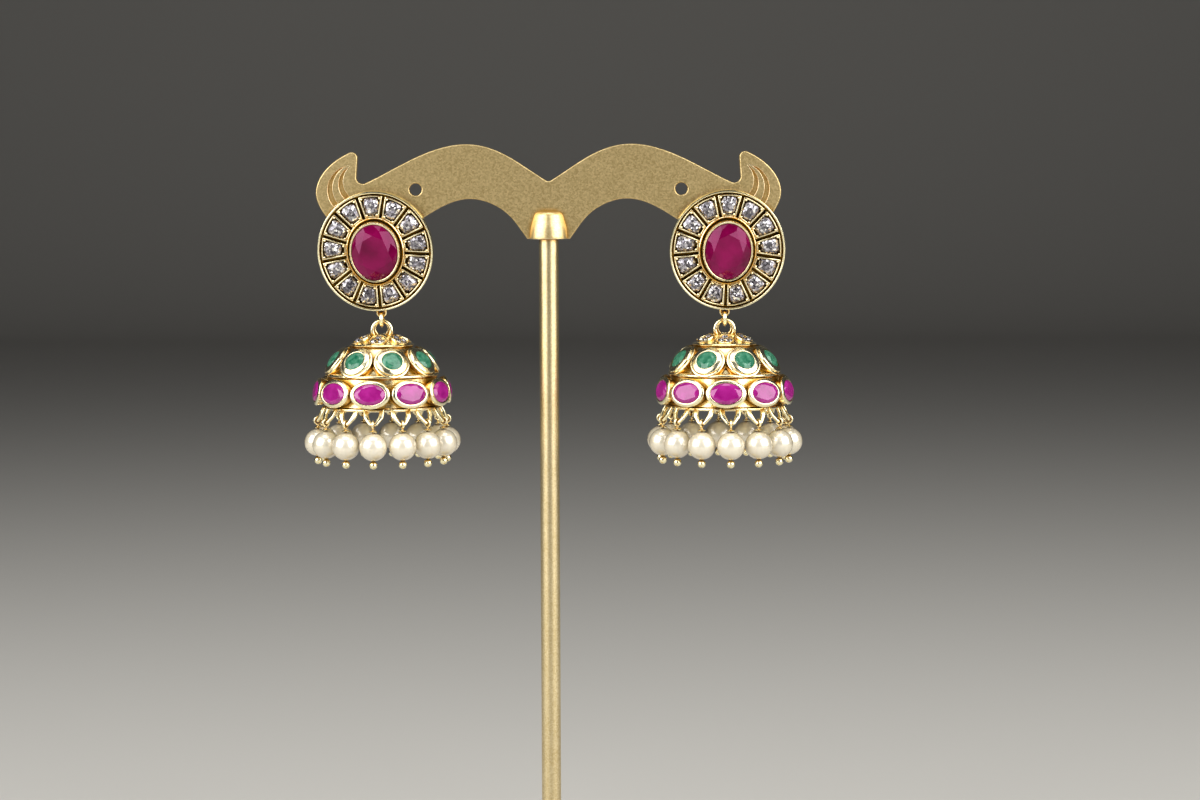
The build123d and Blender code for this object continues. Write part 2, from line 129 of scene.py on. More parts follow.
def arcPoints(centre, radius, start, end, steps):
    # points on an arc in a profile, angles in degrees
    return [(centre[0] + radius * math.cos(math.radians(start + (end - start) * i / steps)),
             centre[1] + radius * math.sin(math.radians(start + (end - start) * i / steps)))
            for i in range(steps + 1)]


def ballRows(radius, z, steps):
    return lathe([(r, z + h) for r, h in arcPoints((0, 0), radius, -84, 84, steps // 2)], steps)


def ringRows(radius, section, steps):
    # a ring about Z; the section holds (outward, up) pairs
    rows = []
    for i in range(steps):
        a = 2 * math.pi * i / steps
        rows.append([((radius + out) * math.cos(a), (radius + out) * math.sin(a), up) for out, up in section])
    return rows


def wireSection(radius, steps):
    return [(radius * math.cos(2 * math.pi * k / steps), radius * math.sin(2 * math.pi * k / steps))
            for k in range(steps)]


def groovedSection(halfW, halfT, depth, steps=16):
    # a flattened wire with a groove along the middle of both faces
    points = []
    for k in range(steps):
        a = 2 * math.pi * k / steps
        x = halfW * math.copysign(abs(math.cos(a)) ** 0.8, math.cos(a))
        y = halfT * math.copysign(abs(math.sin(a)) ** 0.8, math.sin(a))
        y -= math.copysign(depth * max(0.0, 1 - (x / (0.55 * halfW)) ** 2), y) if abs(y) > 0.01 else 0
        points.append((x, y))
    return points


def roundedPath(corners, radii, steps):
    # an open path whose inner corners are arcs of those radii
    path = [Vector(corners[0])]
    for before, corner, after, radius in zip(corners, corners[1:], corners[2:], radii):
        corner = Vector(corner)
        toBefore = (Vector(before) - corner).normalized()
        toAfter = (Vector(after) - corner).normalized()
        half = toBefore.angle(toAfter) / 2
        start = corner + toBefore * (radius / math.tan(half))
        centre = corner + (toBefore + toAfter).normalized() * (radius / math.sin(half))
        end = corner + toAfter * (radius / math.tan(half))
        for i in range(steps + 1):
            spoke = (start - centre).lerp(end - centre, i / steps).normalized()
            path.append(centre + spoke * radius)
    path.append(Vector(corners[-1]))
    return path


def newObject(name, data):
    thing = bpy.data.objects.new(name, data)
    bpy.context.scene.collection.objects.link(thing)
    return thing


def meshObject(name, shape):
    mesh = bpy.data.meshes.new(name)
    mesh.from_pydata([tuple(p) for p in shape["points"]], [], shape["faces"])
    tidy = bmesh.new()
    tidy.from_mesh(mesh)
    bmesh.ops.recalc_face_normals(tidy, faces=tidy.faces)
    tidy.to_mesh(mesh)
    tidy.free()
    return newObject(name, mesh)


def makePiece(name, shape, material, body, replaced):
    piece = meshObject(name, shape)
    mesh = piece.data
    mesh.polygons.foreach_set("use_smooth", [True] * len(mesh.polygons))
    mesh.set_sharp_from_angle(angle=math.radians(sharpAngle))
    mesh.materials.append(material)
    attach(piece, body)
    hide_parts(replaced)
    return piece


def cutAway(piece, shape):
    # takes a closed shape out of a piece
    tool = meshObject("cutter", shape)
    cut = piece.modifiers.new("cut", "BOOLEAN")
    cut.operation = "DIFFERENCE"
    cut.object = tool
    cut.solver = "EXACT"
    applyModifiers(piece)
    bpy.data.objects.remove(tool)


def applyModifiers(piece):
    graph = bpy.context.evaluated_depsgraph_get()
    done = bpy.data.meshes.new_from_object(piece.evaluated_get(graph))
    piece.modifiers.clear()
    piece.data = done


def srgb(hexText):
    # a hex colour to the linear values that a shader takes
    values = [int(hexText[i:i + 2], 16) / 255 for i in (1, 3, 5)]
    return [v / 12.92 if v <= 0.04045 else ((v + 0.055) / 1.055) ** 2.4 for v in values] + [1.0]


def addNode(tree, kind, settings=None, values=None, links=None):
    node = tree.nodes.new(kind)
    for key, value in (settings or {}).items():
        setattr(node, key, value)
    for key, value in (values or {}).items():
        node.inputs[key].default_value = value
    for key, source in (links or {}).items():
        tree.links.new(source, node.inputs[key])
    return node


def newMaterial(name, values):
    material = bpy.data.materials.new(name)
    material.use_nodes = True
    shader = material.node_tree.nodes["Principled BSDF"]
    for key, value in values.items():
        shader.inputs[key].default_value = value
    return material, material.node_tree, shader


def perMetre(sizeMm):
    # how many repeats of a pattern of that size go in a metre
    return 1000.0 / sizeMm


def colourRamp(tree, source, stops):
    ramp = addNode(tree, "ShaderNodeValToRGB", links={"Fac": source})
    ramp.color_ramp.elements[0].position = stops[0][0]
    ramp.color_ramp.elements[0].color = srgb(stops[0][1])
    ramp.color_ramp.elements[1].position = stops[-1][0]
    ramp.color_ramp.elements[1].color = srgb(stops[-1][1])
    for position, colour in stops[1:-1]:
        ramp.color_ramp.elements.new(position).color = srgb(colour)
    return ramp


def platedGold(name, look):
    # gold-plated metal with a satin sheen: a fine speckle in colour and skin, painted shade that is warmer
    # and darker where pieces meet, and edges that handling has burnished, painted as a thin pale line of highlight
    material, tree, shader = newMaterial(name, {"Metallic": 1.0})
    place = addNode(tree, "ShaderNodeTexCoord").outputs["Object"]
    grain = addNode(tree, "ShaderNodeTexVoronoi", values={"Scale": perMetre(look["grain"])},
                    links={"Vector": place})
    pit = addNode(tree, "ShaderNodeSeparateColor", links={"Color": grain.outputs["Color"]})
    cloud = addNode(tree, "ShaderNodeTexNoise", values={"Scale": perMetre(look["cloud"]), "Detail": 3.0},
                    links={"Vector": place})
    mottle = addNode(tree, "ShaderNodeMix", values={0: look["calm"]},
                     links={2: pit.outputs["Red"], 3: cloud.outputs["Fac"]})
    tint = colourRamp(tree, mottle.outputs[0], [(0.1, look["dark"]), (0.9, look["light"])])
    # painted shade: where the surface is enclosed, where pieces meet and in grooves, it takes a warmer, darker
    # colour
    hollowShade = addNode(tree, "ShaderNodeAmbientOcclusion", settings={"samples": 6},
                     values={"Distance": look["hollowReach"] * mm})
    shade = addNode(tree, "ShaderNodeMapRange", values={"From Min": 0.55, "From Max": 0.95},
                    links={"Value": hollowShade.outputs["AO"]})
    paintedHollowShade = addNode(tree, "ShaderNodeMix", settings={"data_type": "RGBA"}, values={6: srgb(look["hollowShade"])},
                     links={0: shade.outputs["Result"], 7: tint.outputs["Color"]})
    rounded = addNode(tree, "ShaderNodeBevel", settings={"samples": 6},
                      values={"Radius": look["edge"] * mm})
    flat = addNode(tree, "ShaderNodeNewGeometry")
    bend = addNode(tree, "ShaderNodeVectorMath", settings={"operation": "DOT_PRODUCT"},
                   links={0: rounded.outputs["Normal"], 1: flat.outputs["Normal"]})
    # wear and painted highlight: a pale, smoother line along the rounded edges
    wearAndHighlight = addNode(tree, "ShaderNodeMapRange", values={"From Min": 0.99, "From Max": 0.85},
                   links={"Value": bend.outputs["Value"]})
    colour = addNode(tree, "ShaderNodeMix", settings={"data_type": "RGBA"},
                     values={7: srgb(look["burnishedHighlight"])},
                     links={0: wearAndHighlight.outputs["Result"], 6: paintedHollowShade.outputs[2]})
    tree.links.new(colour.outputs[2], shader.inputs["Base Color"])
    rough = addNode(tree, "ShaderNodeMapRange",
                    values={"To Min": look["roughness"], "To Max": look["edgeRoughness"]},
                    links={"Value": wearAndHighlight.outputs["Result"]})
    tree.links.new(rough.outputs["Result"], shader.inputs["Roughness"])
    bump = addNode(tree, "ShaderNodeBump",
                   values={"Strength": look["bump"], "Distance": 0.1 * look["grain"] * mm},
                   links={"Height": grain.outputs["Distance"]})
    tree.links.new(bump.outputs["Normal"], shader.inputs["Normal"])
    return material


def castGold(name, look):
    # cast brass, gold-plated and tumbled: mirror-bright lips, a softer skin, and painted shade that colours the
    # hollows deep brown to amber
    material, tree, shader = newMaterial(name, {"Metallic": 1.0})
    place = addNode(tree, "ShaderNodeTexCoord").outputs["Object"]
    skin = addNode(tree, "ShaderNodeTexNoise", values={"Scale": perMetre(look["ripple"]), "Detail": 3.0},
                   links={"Vector": place})
    hollowShade = addNode(tree, "ShaderNodeAmbientOcclusion", settings={"samples": 6},
                     values={"Distance": look["hollowReach"] * mm})
    # painted shade: the more enclosed a spot, the darker and warmer its colour
    tint = colourRamp(tree, hollowShade.outputs["AO"], look["colours"])
    tree.links.new(tint.outputs["Color"], shader.inputs["Base Color"])
    rough = addNode(tree, "ShaderNodeMapRange",
                    values={"To Min": look["roughest"], "To Max": look["smoothest"]},
                    links={"Value": skin.outputs["Fac"]})
    matt = addNode(tree, "ShaderNodeMapRange",
                   values={"From Min": 0.3, "From Max": 0.8, "To Min": look["hollowRoughness"]},
                   links={"Value": hollowShade.outputs["AO"], "To Max": rough.outputs["Result"]})
    tree.links.new(matt.outputs["Result"], shader.inputs["Roughness"])
    bump = addNode(tree, "ShaderNodeBump", values={"Strength": look["bump"], "Distance": 0.05 * mm},
                   links={"Height": skin.outputs["Fac"]})
    tree.links.new(bump.outputs["Normal"], shader.inputs["Normal"])
    return material


def cutStone(name, look):
    # cut glass in a closed cup: hard facet reflections over a deep body colour
    material, tree, shader = newMaterial(name, {
        "Roughness": look["roughness"], "IOR": look["ior"], "Transmission Weight": look["clear"],
        "Specular Tint": srgb(look["gloss"])})
    place = addNode(tree, "ShaderNodeTexCoord").outputs["Object"]
    veil = addNode(tree, "ShaderNodeTexNoise", values={"Scale": perMetre(look["veil"]), "Detail": 4.0},
                   links={"Vector": place})
    tint = colourRamp(tree, veil.outputs["Fac"], look["colours"])
    tree.links.new(tint.outputs["Color"], shader.inputs["Base Color"])
    return material


def foiledStone(name, look):
    # clear stone over silver foil, with painted reflections: small bright and dark chips in its colour stand in
    # for the light that its back facets break up
    material, tree, shader = newMaterial(name, {
        "Roughness": 0.04, "IOR": look["ior"], "Metallic": look["foil"],
        "Coat Weight": 1.0, "Coat Roughness": 0.01})
    place = addNode(tree, "ShaderNodeTexCoord").outputs["Object"]
    chips = addNode(tree, "ShaderNodeTexVoronoi", values={"Scale": perMetre(look["chip"])},
                    links={"Vector": place})
    # painted reflections: random cells of dark, grey and white laid into the colour
    paintedSparkle = addNode(tree, "ShaderNodeSeparateColor", links={"Color": chips.outputs["Color"]})
    tint = colourRamp(tree, paintedSparkle.outputs["Red"], look["colours"])
    tree.links.new(tint.outputs["Color"], shader.inputs["Base Color"])
    lean = addNode(tree, "ShaderNodeVectorMath", settings={"operation": "SUBTRACT"},
                   values={1: (0.5, 0.5, 0.5)}, links={0: chips.outputs["Color"]})
    lean = addNode(tree, "ShaderNodeVectorMath", settings={"operation": "SCALE"},
                   values={"Scale": look["lean"]}, links={0: lean.outputs["Vector"]})
    facet = addNode(tree, "ShaderNodeNewGeometry")
    turned = addNode(tree, "ShaderNodeVectorMath", settings={"operation": "ADD"},
                     links={0: facet.outputs["Normal"], 1: lean.outputs["Vector"]})
    normal = addNode(tree, "ShaderNodeVectorMath", settings={"operation": "NORMALIZE"},
                     links={0: turned.outputs["Vector"]})
    tree.links.new(normal.outputs["Vector"], shader.inputs["Normal"])
    return material


def pearlNacre(name, look):
    # glass bead dipped in nacre lacquer: a soft deep gloss, cream, with painted shade that turns it warmer and
    # darker towards its outline
    material, tree, shader = newMaterial(name, {
        "Roughness": 0.28, "IOR": 1.6, "Metallic": 0.25,
        "Coat Weight": 1.0, "Coat Roughness": 0.1, "Coat IOR": 1.9,
        "Subsurface Weight": 0.1, "Subsurface Scale": 0.6 * mm, "Subsurface Radius": (1.0, 0.8, 0.6)})
    paintedRimShade = addNode(tree, "ShaderNodeLayerWeight", values={"Blend": 0.35})
    # painted shade: cream where the pearl faces the viewer, warm brown at its outline
    tint = colourRamp(tree, paintedRimShade.outputs["Facing"], look["colours"])
    tree.links.new(tint.outputs["Color"], shader.inputs["Base Color"])
    return material


# zinc alloy, blasted with fine glass beads: matt, with a speckle all over
# the blasting's grit is near 0.1 mm, and its speckle is drawn at 0.22 mm so that it shows
standGold = platedGold("bead blasted gold plate", {
    "dark": "#B29A66", "light": "#D9C18C", "burnishedHighlight": "#FFF4D2", "hollowShade": "#C89438", "hollowReach": 0.8,
    "roughness": 0.42, "edgeRoughness": 0.2, "grain": 0.22, "cloud": 7.0, "calm": 0.3,
    "edge": 0.22, "bump": 0.4})
# turned and brushed: smoother and brighter than the plate behind it
collarGold = platedGold("brushed gold plate", {
    "dark": "#D8BC7C", "light": "#F0DBA8", "burnishedHighlight": "#FFF2CC", "hollowShade": "#D8A440", "hollowReach": 0.4,
    "roughness": 0.38, "edgeRoughness": 0.25, "grain": 0.2, "cloud": 3.0, "calm": 0.5,
    "edge": 0.15, "bump": 0.1})
# drawn tube: smooth enough for long soft streaks of light
poleGold = platedGold("drawn tube, satin gold plate", {
    "dark": "#C9B27E", "light": "#EBDAB0", "burnishedHighlight": "#FFF4D2", "hollowShade": "#C08A30", "hollowReach": 0.7,
    "roughness": 0.35, "edgeRoughness": 0.2, "grain": 0.2, "cloud": 5.0, "calm": 0.5,
    "edge": 0.15, "bump": 0.25})
# corners rubbed by handling, and painted pale as a highlight: the palest and smoothest of the plating
rubbedHighlightGold = platedGold("rubbed gold plate with painted highlight", {
    "dark": "#F2DDA4", "light": "#FFF2CC", "burnishedHighlight": "#FFF6DC", "hollowShade": "#E0B050", "hollowReach": 0.4,
    "roughness": 0.34, "edgeRoughness": 0.25, "grain": 0.2, "cloud": 3.0, "calm": 0.5,
    "edge": 0.1, "bump": 0.1})
# the ripple of the tumbling is about half a millimetre
earringGold = castGold("cast brass, gold plated and tumbled", {
    "colours": [(0.16, "#3C2806"), (0.52, "#DDA422"), (0.86, "#FFF5CA")],   # painted shade: deep brown in the hollows, through amber, to the pale open skin
    "hollowReach": 1.4, "ripple": 0.5, "hollowRoughness": 0.45, "roughest": 0.3, "smoothest": 0.1,
    "bump": 0.35})
# a thick dark stone, opaque in its closed cup
centreRuby = cutStone("deep crimson cut glass", {
    "colours": [(0.35, "#560028"), (0.65, "#7A0642")], "roughness": 0.03, "ior": 1.58, "clear": 0.0,
    "gloss": "#E89CC8", "veil": 4.0})
# thin stones that let some light through, pink to violet
bandRuby = cutStone("pink ruby cut glass", {
    "colours": [(0.3, "#9C1078"), (0.7, "#C42E9E")], "roughness": 0.03, "ior": 1.76, "clear": 0.3,
    "gloss": "#FFE4F6", "veil": 1.5})
# veils and inclusions make the green cloudy
bandEmerald = cutStone("cloudy emerald cut glass", {
    "colours": [(0.3, "#1A6B4C"), (0.7, "#5FA383")], "roughness": 0.04, "ior": 1.58, "clear": 0.3,
    "gloss": "#F0FFF6", "veil": 0.7})
# painted reflections: chips about a quarter of a millimetre wide, dark, grey and white
zirconia = foiledStone("clear cut zirconia over foil", {
    "colours": [(0.0, "#241F26"), (0.4, "#655F68"), (0.75, "#B0ABB2"), (1.0, "#FFFBF2")],
    "ior": 2.15, "foil": 0.7, "chip": 0.28, "lean": 0.55})
nacre = pearlNacre("nacre lacquer on glass beads", {
    "colours": [(0.0, "#E8DFCA"), (0.5, "#DACEB2"), (1.0, "#A08654")]})
print("materials made")


# the stand's plated castings keep their form and get their worn, rounded edges with a painted highlight
crossbar = {"halfThick": 0.8, "edge": 0.22, "hole": 0.9, "roundWithin": 0.05,
            "grooveFloor": -0.5, "grooveEdge": 0.12, "angle": 60}
standPieces = {                            # edge in millimetres, angle in degrees
    "stand_collar": {"name": "collar", "edge": 0.1, "angle": 35, "material": collarGold},
    "stand_pole": {"name": "pole", "edge": 0.1, "angle": 40, "material": poleGold},
    "stand_base": {"name": "base", "edge": 0.15, "angle": 35, "material": standGold},
}


def frontLoops(node):
    # the closed edges round the flat front of a plate, in millimetres, longest first
    mesh = bmesh.new()
    mesh.from_mesh(nodes[node].data)
    bmesh.ops.remove_doubles(mesh, verts=mesh.verts, dist=mergeWithin)
    front = min(v.co.y for v in mesh.verts) + 0.01 * mm
    flat = [face for face in mesh.faces if all(v.co.y < front for v in face.verts)]
    inside = set(flat)
    ahead = {}
    for face in flat:
        for corner in face.loops:
            if any(other not in inside for other in corner.edge.link_faces):
                ahead[corner.vert] = corner.link_loop_next.vert
    loops = []
    while ahead:
        start = next(iter(ahead))
        points, vertex = [start.co / mm], ahead.pop(start)
        while vertex is not start:
            points.append(vertex.co / mm)
            vertex = ahead.pop(vertex)
        loops.append(points)
    mesh.free()
    return sorted(loops, key=lambda points: -loopSize(points)[0])


def loopSize(points):
    xs, zs = [p.x for p in points], [p.z for p in points]
    return max(xs) - min(xs), max(zs) - min(zs)


def crossbarPlate():
    # the plate's outline and holes with rounded edges all round, and the crescents cut into both horns
    loops = frontLoops("stand_crossbar")
    curve = bpy.data.curves.new("crossbar outline", "CURVE")
    curve.dimensions = "2D"
    curve.fill_mode = "BOTH"
    curve.extrude = crossbar["halfThick"] - crossbar["edge"]
    curve.bevel_depth = crossbar["edge"]
    curve.bevel_resolution = 2
    curve.offset = -crossbar["edge"]
    crescents = newShape()
    for points in loops:
        width, height = loopSize(points)
        isHole = abs(width - height) < crossbar["roundWithin"]
        if isHole:
            x = sum(p.x for p in points) / len(points)
            z = sum(p.z for p in points) / len(points)
            circle = ovalRow(crossbar["hole"], crossbar["hole"], 0, 40)
            points = [Vector((x + a, 0, z + b)) for a, b, c in circle]
        if isHole or points is loops[0]:
            line = curve.splines.new("POLY")
            line.points.add(len(points) - 1)
            for corner, p in zip(line.points, points):
                corner.co = (p.x, p.z, 0, 1)
            line.use_cyclic_u = True
        else:
            addRows(crescents, [[(p.x, y, p.z) for p in points] for y in (crossbar["grooveFloor"], -2)],
                    Matrix.Scale(mm, 4))
    outline = newObject("crossbar outline", curve)
    graph = bpy.context.evaluated_depsgraph_get()
    mesh = bpy.data.meshes.new_from_object(outline.evaluated_get(graph))
    bpy.data.objects.remove(outline)
    mesh.transform(Matrix.Scale(mm, 4) @ Matrix.Rotation(math.pi / 2, 4, "X"))
    tidy = bmesh.new()
    tidy.from_mesh(mesh)
    bmesh.ops.remove_doubles(tidy, verts=tidy.verts, dist=mergeWithin)
    bmesh.ops.recalc_face_normals(tidy, faces=tidy.faces)
    for face in tidy.faces:
        face.material_index = 1 if 0.2 < abs(face.normal.y) < 0.98 else 0   # rounded edges: burnished, with a painted highlight
    tidy.to_mesh(mesh)
    tidy.free()
    plate = newObject("crossbar", mesh)
    cutAway(plate, crescents)
    finishCasting(plate, standGold, crossbar["grooveEdge"], crossbar["angle"])
    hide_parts("stand_crossbar")


def finishCasting(piece, material, edge, angle):
    # joins the triangles of flat faces, rounds the hard edges and gives them their burnished plating with its
    # painted highlight
    mesh = piece.data
    tidy = bmesh.new()
    tidy.from_mesh(mesh)
    bmesh.ops.remove_doubles(tidy, verts=tidy.verts, dist=mergeWithin)
    bmesh.ops.dissolve_limit(tidy, angle_limit=math.radians(0.5), verts=tidy.verts, edges=tidy.edges,
                             delimit={"MATERIAL"})
    tidy.to_mesh(mesh)
    tidy.free()
    mesh.materials.clear()
    mesh.materials.append(material)
    mesh.materials.append(rubbedHighlightGold)
    mesh.polygons.foreach_set("use_smooth", [True] * len(mesh.polygons))
    bevel = piece.modifiers.new("worn edge with painted highlight", "BEVEL")
    bevel.width = edge * mm
    bevel.segments = 2
    bevel.limit_method = "ANGLE"
    bevel.angle_limit = math.radians(angle)
    # the rounded edges take the pale plating: burnished, and painted as a highlight
    bevel.material = 1
    flatten = piece.modifiers.new("flat faces stay flat", "WEIGHTED_NORMAL")
    flatten.weight = 100
    applyModifiers(piece)
    piece.data.polygons.foreach_set("use_smooth", [True] * len(piece.data.polygons))
    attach(piece, "stand")


def softenedCopy(node, choice):
    copy = newObject(choice["name"], nodes[node].data.copy())
    finishCasting(copy, choice["material"], choice["edge"], choice["angle"])
    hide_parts(node)


crossbarPlate()
for node, choice in standPieces.items():
    softenedCopy(node, choice)
print("stand made")


# all in millimetres
stud = {
    "halfW": 8.6, "halfH": 8.95, "plate": 0.8, "back": 0.34, "rim": 0.32, "rimTop": 1.68, "groove": 0.25,
    "cells": 13, "cellTop": 1.55, "cellWall": 0.24, "slot": 0.42, "trayFloor": 0.4,
    "hubW": 4.35, "hubH": 5.15, "beads": 0.2,
    "eyeRing": 0.6, "eyeWire": 0.2, "eyeDrop": 9.33, "eyeLevel": 0.55,
    "postRoot": 0.5, "postEnd": 0.4, "postTip": -10.75, "postRound": 0.25,
}


def ovalReach(halfW, halfH, angle):
    return 1 / math.hypot(math.cos(angle) / halfW, math.sin(angle) / halfH)


def onOval(halfW, halfH, edge, offset):
    # where a line beside the spoke at that angle crosses an oval, as a polar angle
    u = Vector((math.cos(edge), math.sin(edge)))
    q = Vector((-u.y, u.x)) * offset
    a = (u.x / halfW) ** 2 + (u.y / halfH) ** 2
    b = 2 * (u.x * q.x / halfW ** 2 + u.y * q.y / halfH ** 2)
    c = (q.x / halfW) ** 2 + (q.y / halfH) ** 2 - 1
    r = (-b + math.sqrt(b * b - 4 * a * c)) / (2 * a)
    point = u * r + q
    return math.atan2(point.y, point.x)


def cellOutline(middle, inset, z):
    # a wedge between two slots, its ends on the oval of the rim and the oval of the hub
    half = math.pi / stud["cells"]
    offset = stud["slot"] / 2 + inset
    outerW = stud["halfW"] - stud["rim"] - stud["groove"] - inset
    outerH = stud["halfH"] - stud["rim"] - stud["groove"] - inset
    innerW = stud["hubW"] + inset
    innerH = stud["hubH"] + inset
    points = []
    for halfW, halfH, steps, backwards in ((outerW, outerH, 9, False), (innerW, innerH, 6, True)):
        start = onOval(halfW, halfH, middle - half, offset)
        end = onOval(halfW, halfH, middle + half, -offset)
        span = (end - start) % (2 * math.pi)
        angles = [start + span * i / steps for i in range(steps + 1)]
        if backwards:
            angles.reverse()
        for a in angles:
            reach = ovalReach(halfW, halfH, a)
            points.append((reach * math.cos(a), reach * math.sin(a), z))
    return points


def studCasting(side):
    place = studPlace(side)
    shape = newShape()
    w, h = stud["halfW"], stud["halfH"]
    plate, top, rim = stud["plate"], stud["rimTop"], stud["rim"]
    field = rim + stud["groove"] + 0.02
    # rows of (inset, level)
    rimRows = [(0.08, 0), (0, 0.08), (0, top - 0.12), (0.04, top - 0.03), (0.13, top), (0.2, top),
               (0.28, top - 0.05), (rim, top - 0.14), (rim, plate - 0.05), (field, plate - 0.05), (field, 0)]
    addRows(shape, [ovalRow(w - d, h - d, z, 96) for d, z in rimRows], place, ring=True)
    backRows = [(0.3, 0.01), (0.2, 0.05), (0.2, stud["back"]), (0.4, stud["back"] + 0.02)]
    addRows(shape, [ovalRow(w - d, h - d, z, 96) for d, z in backRows], place)
    cellTop, wall = stud["cellTop"], stud["cellWall"]
    wallRows = [(0, 0.1), (0, cellTop - 0.12), (0.02, cellTop - 0.06), (0.06, cellTop - 0.02),
                (wall / 2, cellTop), (wall - 0.06, cellTop - 0.02), (wall - 0.02, cellTop - 0.06),
                (wall, cellTop - 0.12), (wall + 0.02, stud["trayFloor"])]
    for k in range(stud["cells"]):
        middle = math.pi / 2 + 2 * math.pi * k / stud["cells"]
        addRows(shape, [cellOutline(middle, inset, z) for inset, z in wallRows], place)
        corners = cellOutline(middle, wall + 0.12, cellTop - 0.02)
        for corner in (corners[0], corners[9], corners[10], corners[16]):
            bead = Matrix.Translation(corner)
            addRows(shape, ballRows(stud["beads"], 0, 10), place @ bead)
    hubW, hubH = stud["hubW"] + 0.02, stud["hubH"] + 0.02
    # rows of (half width, half height, level)
    hubRows = [(hubW, hubH, 0.1), (hubW, hubH, cellTop - 0.08), (hubW - 0.08, hubH - 0.08, cellTop + 0.04),
               (4.2, 5.02, cellTop + 0.1), (4.1, 4.92, cellTop + 0.06), (4.03, 4.84, cellTop - 0.06),
               (4.0, 4.8, 0.95), (3.86, 4.65, 0.95),
               (3.74, 4.51, 2.5), (3.7, 4.46, 2.62), (3.64, 4.4, 2.7), (3.54, 4.29, 2.71), (3.46, 4.2, 2.66),
               (3.44, 4.17, 2.58), (3.545, 4.295, 2.53), (3.545, 4.295, 2.2), (2.2, 2.8, 0.3)]
    addRows(shape, [ovalRow(a, b, z, 96) for a, b, z in hubRows], place)
    eye = Matrix.Translation((0, -stud["eyeDrop"], stud["eyeLevel"]))
    addRows(shape, ringRows(stud["eyeRing"], wireSection(stud["eyeWire"], 14), 40), place @ eye, ring=True)
    root, end, tip, nose = stud["postRoot"], stud["postEnd"], stud["postTip"], stud["postRound"]
    post = [(root, 0.1), (root, -2.0), (end, -2.7), (end, tip)]
    post += arcPoints((end - nose, tip), nose, 0, -80, 4)
    addRows(shape, lathe(post, 24), place @ Matrix.Translation((0, postMiddle.y, 0)))
    makePiece(side + "_stud_casting", shape, earringGold, "stand", side + "_stud_frame")


link = {"ring": 0.93, "wire": 0.3}


def linkRing(side):
    low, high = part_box(side + "_link_ring")
    hinge = listed(side + "_link_swing", frame["joints"])
    across = Vector(hinge["axis"]).normalized()
    up = Vector((0, 0, 1))
    place = frameOf(up, across.cross(up), across, (low + high) / 2) @ Matrix.Scale(mm, 4)
    shape = newShape()
    addRows(shape, ringRows(link["ring"], wireSection(link["wire"], 14), 48), place, ring=True)
    makePiece(side + "_link", shape, earringGold, side + "_link", side + "_link_ring")


# millimetres; a place on the wall is (radius, height, tilt in degrees)
bell = {
    "rubyCount": 10, "rubyW": 2.4, "rubyH": 1.6, "rubyPlace": (9.82, 2.65, 9.4),
    "emeraldCount": 8, "emeraldR": 1.58, "emeraldPlace": (7.33, 7.4, 38.0), "emeraldTurn": 22.5,
    "leafCount": 6, "leafL": 1.45, "leafW": 1.28, "leafPlace": (3.1, 10.0, 64.6),
    "leafStones": [(0.5, 0.57), (0.5, -0.57), (-0.6, 0.0)],
    "grain": 0.13, "grainRing": 0.56, "grainLevel": 0.46,
    "gapPlace": (7.75, 6.0, 41.0),
    "bailTop": 13.33, "bailRing": 1.42, "bailWire": 0.31, "bailHole": 0.83, "bailTip": 1.3, "bailLip": 0.22,
    "bailPlate": 1.5, "bailPlateHalf": 0.14, "bailSteps": 64,
    "loops": 14, "loopRoot": 8.72, "loopLean": 29.0,
}


def onBell(place, angle):
    # the frame of a piece on the wall: +Z out of its face, +Y up the wall
    r, z, tilt = place
    a, t = math.radians(angle), math.radians(tilt)
    out = Vector((math.sin(a), -math.cos(a), 0))
    normal = out * math.cos(t) + Vector((0, 0, math.sin(t)))
    along = Vector((math.cos(a), math.sin(a), 0))
    return frameOf(along, normal.cross(along), normal, out * r + Vector((0, 0, z)))


def bellWall(side, place):
    # one shell turned from (radius, height) points, with triangular openings cut through it
    profile = [(8.72, 0.0), (8.88, 0.05), (8.92, 0.2), (8.88, 0.36), (8.75, 0.46), (8.56, 0.56),
               (8.38, 2.4), (8.16, 4.67), (8.3, 4.81), (8.44, 4.91), (8.47, 5.07), (8.42, 5.21),
               (8.28, 5.31), (7.95, 5.39), (6.3, 7.23), (4.53, 9.2), (4.66, 9.28), (4.76, 9.36),
               (4.78, 9.48), (4.7, 9.6), (4.5, 9.68), (4.25, 9.73), (2.9, 10.26), (1.65, 10.74),
               (1.3, 10.88), (0.95, 11.0), (0.2, 11.02), (0.2, 9.95), (1.6, 9.93), (3.9, 8.93),
               (5.6, 7.05), (7.28, 5.15), (7.5, 4.6), (7.8, 2.3), (8.1, 0.0)]
    shell = newShape()
    addRows(shell, lathe(profile, 120), place, ring=True)
    piece = makePiece(side + "_bell", shell, earringGold, side + "_drop", side + "_dome_shell")
    gaps = newShape()
    for k in range(bell["emeraldCount"]):
        angle = earrings[side]["bellTurn"] + k * 360 / bell["emeraldCount"]
        corners = [(-0.75, -0.55), (0.75, -0.55), (0, 0.75)]
        rows = [[(x, y, z) for x, y in corners] for z in (-3, 2)]
        addRows(gaps, rows, place @ onBell(bell["gapPlace"], angle))
    cutAway(piece, gaps)


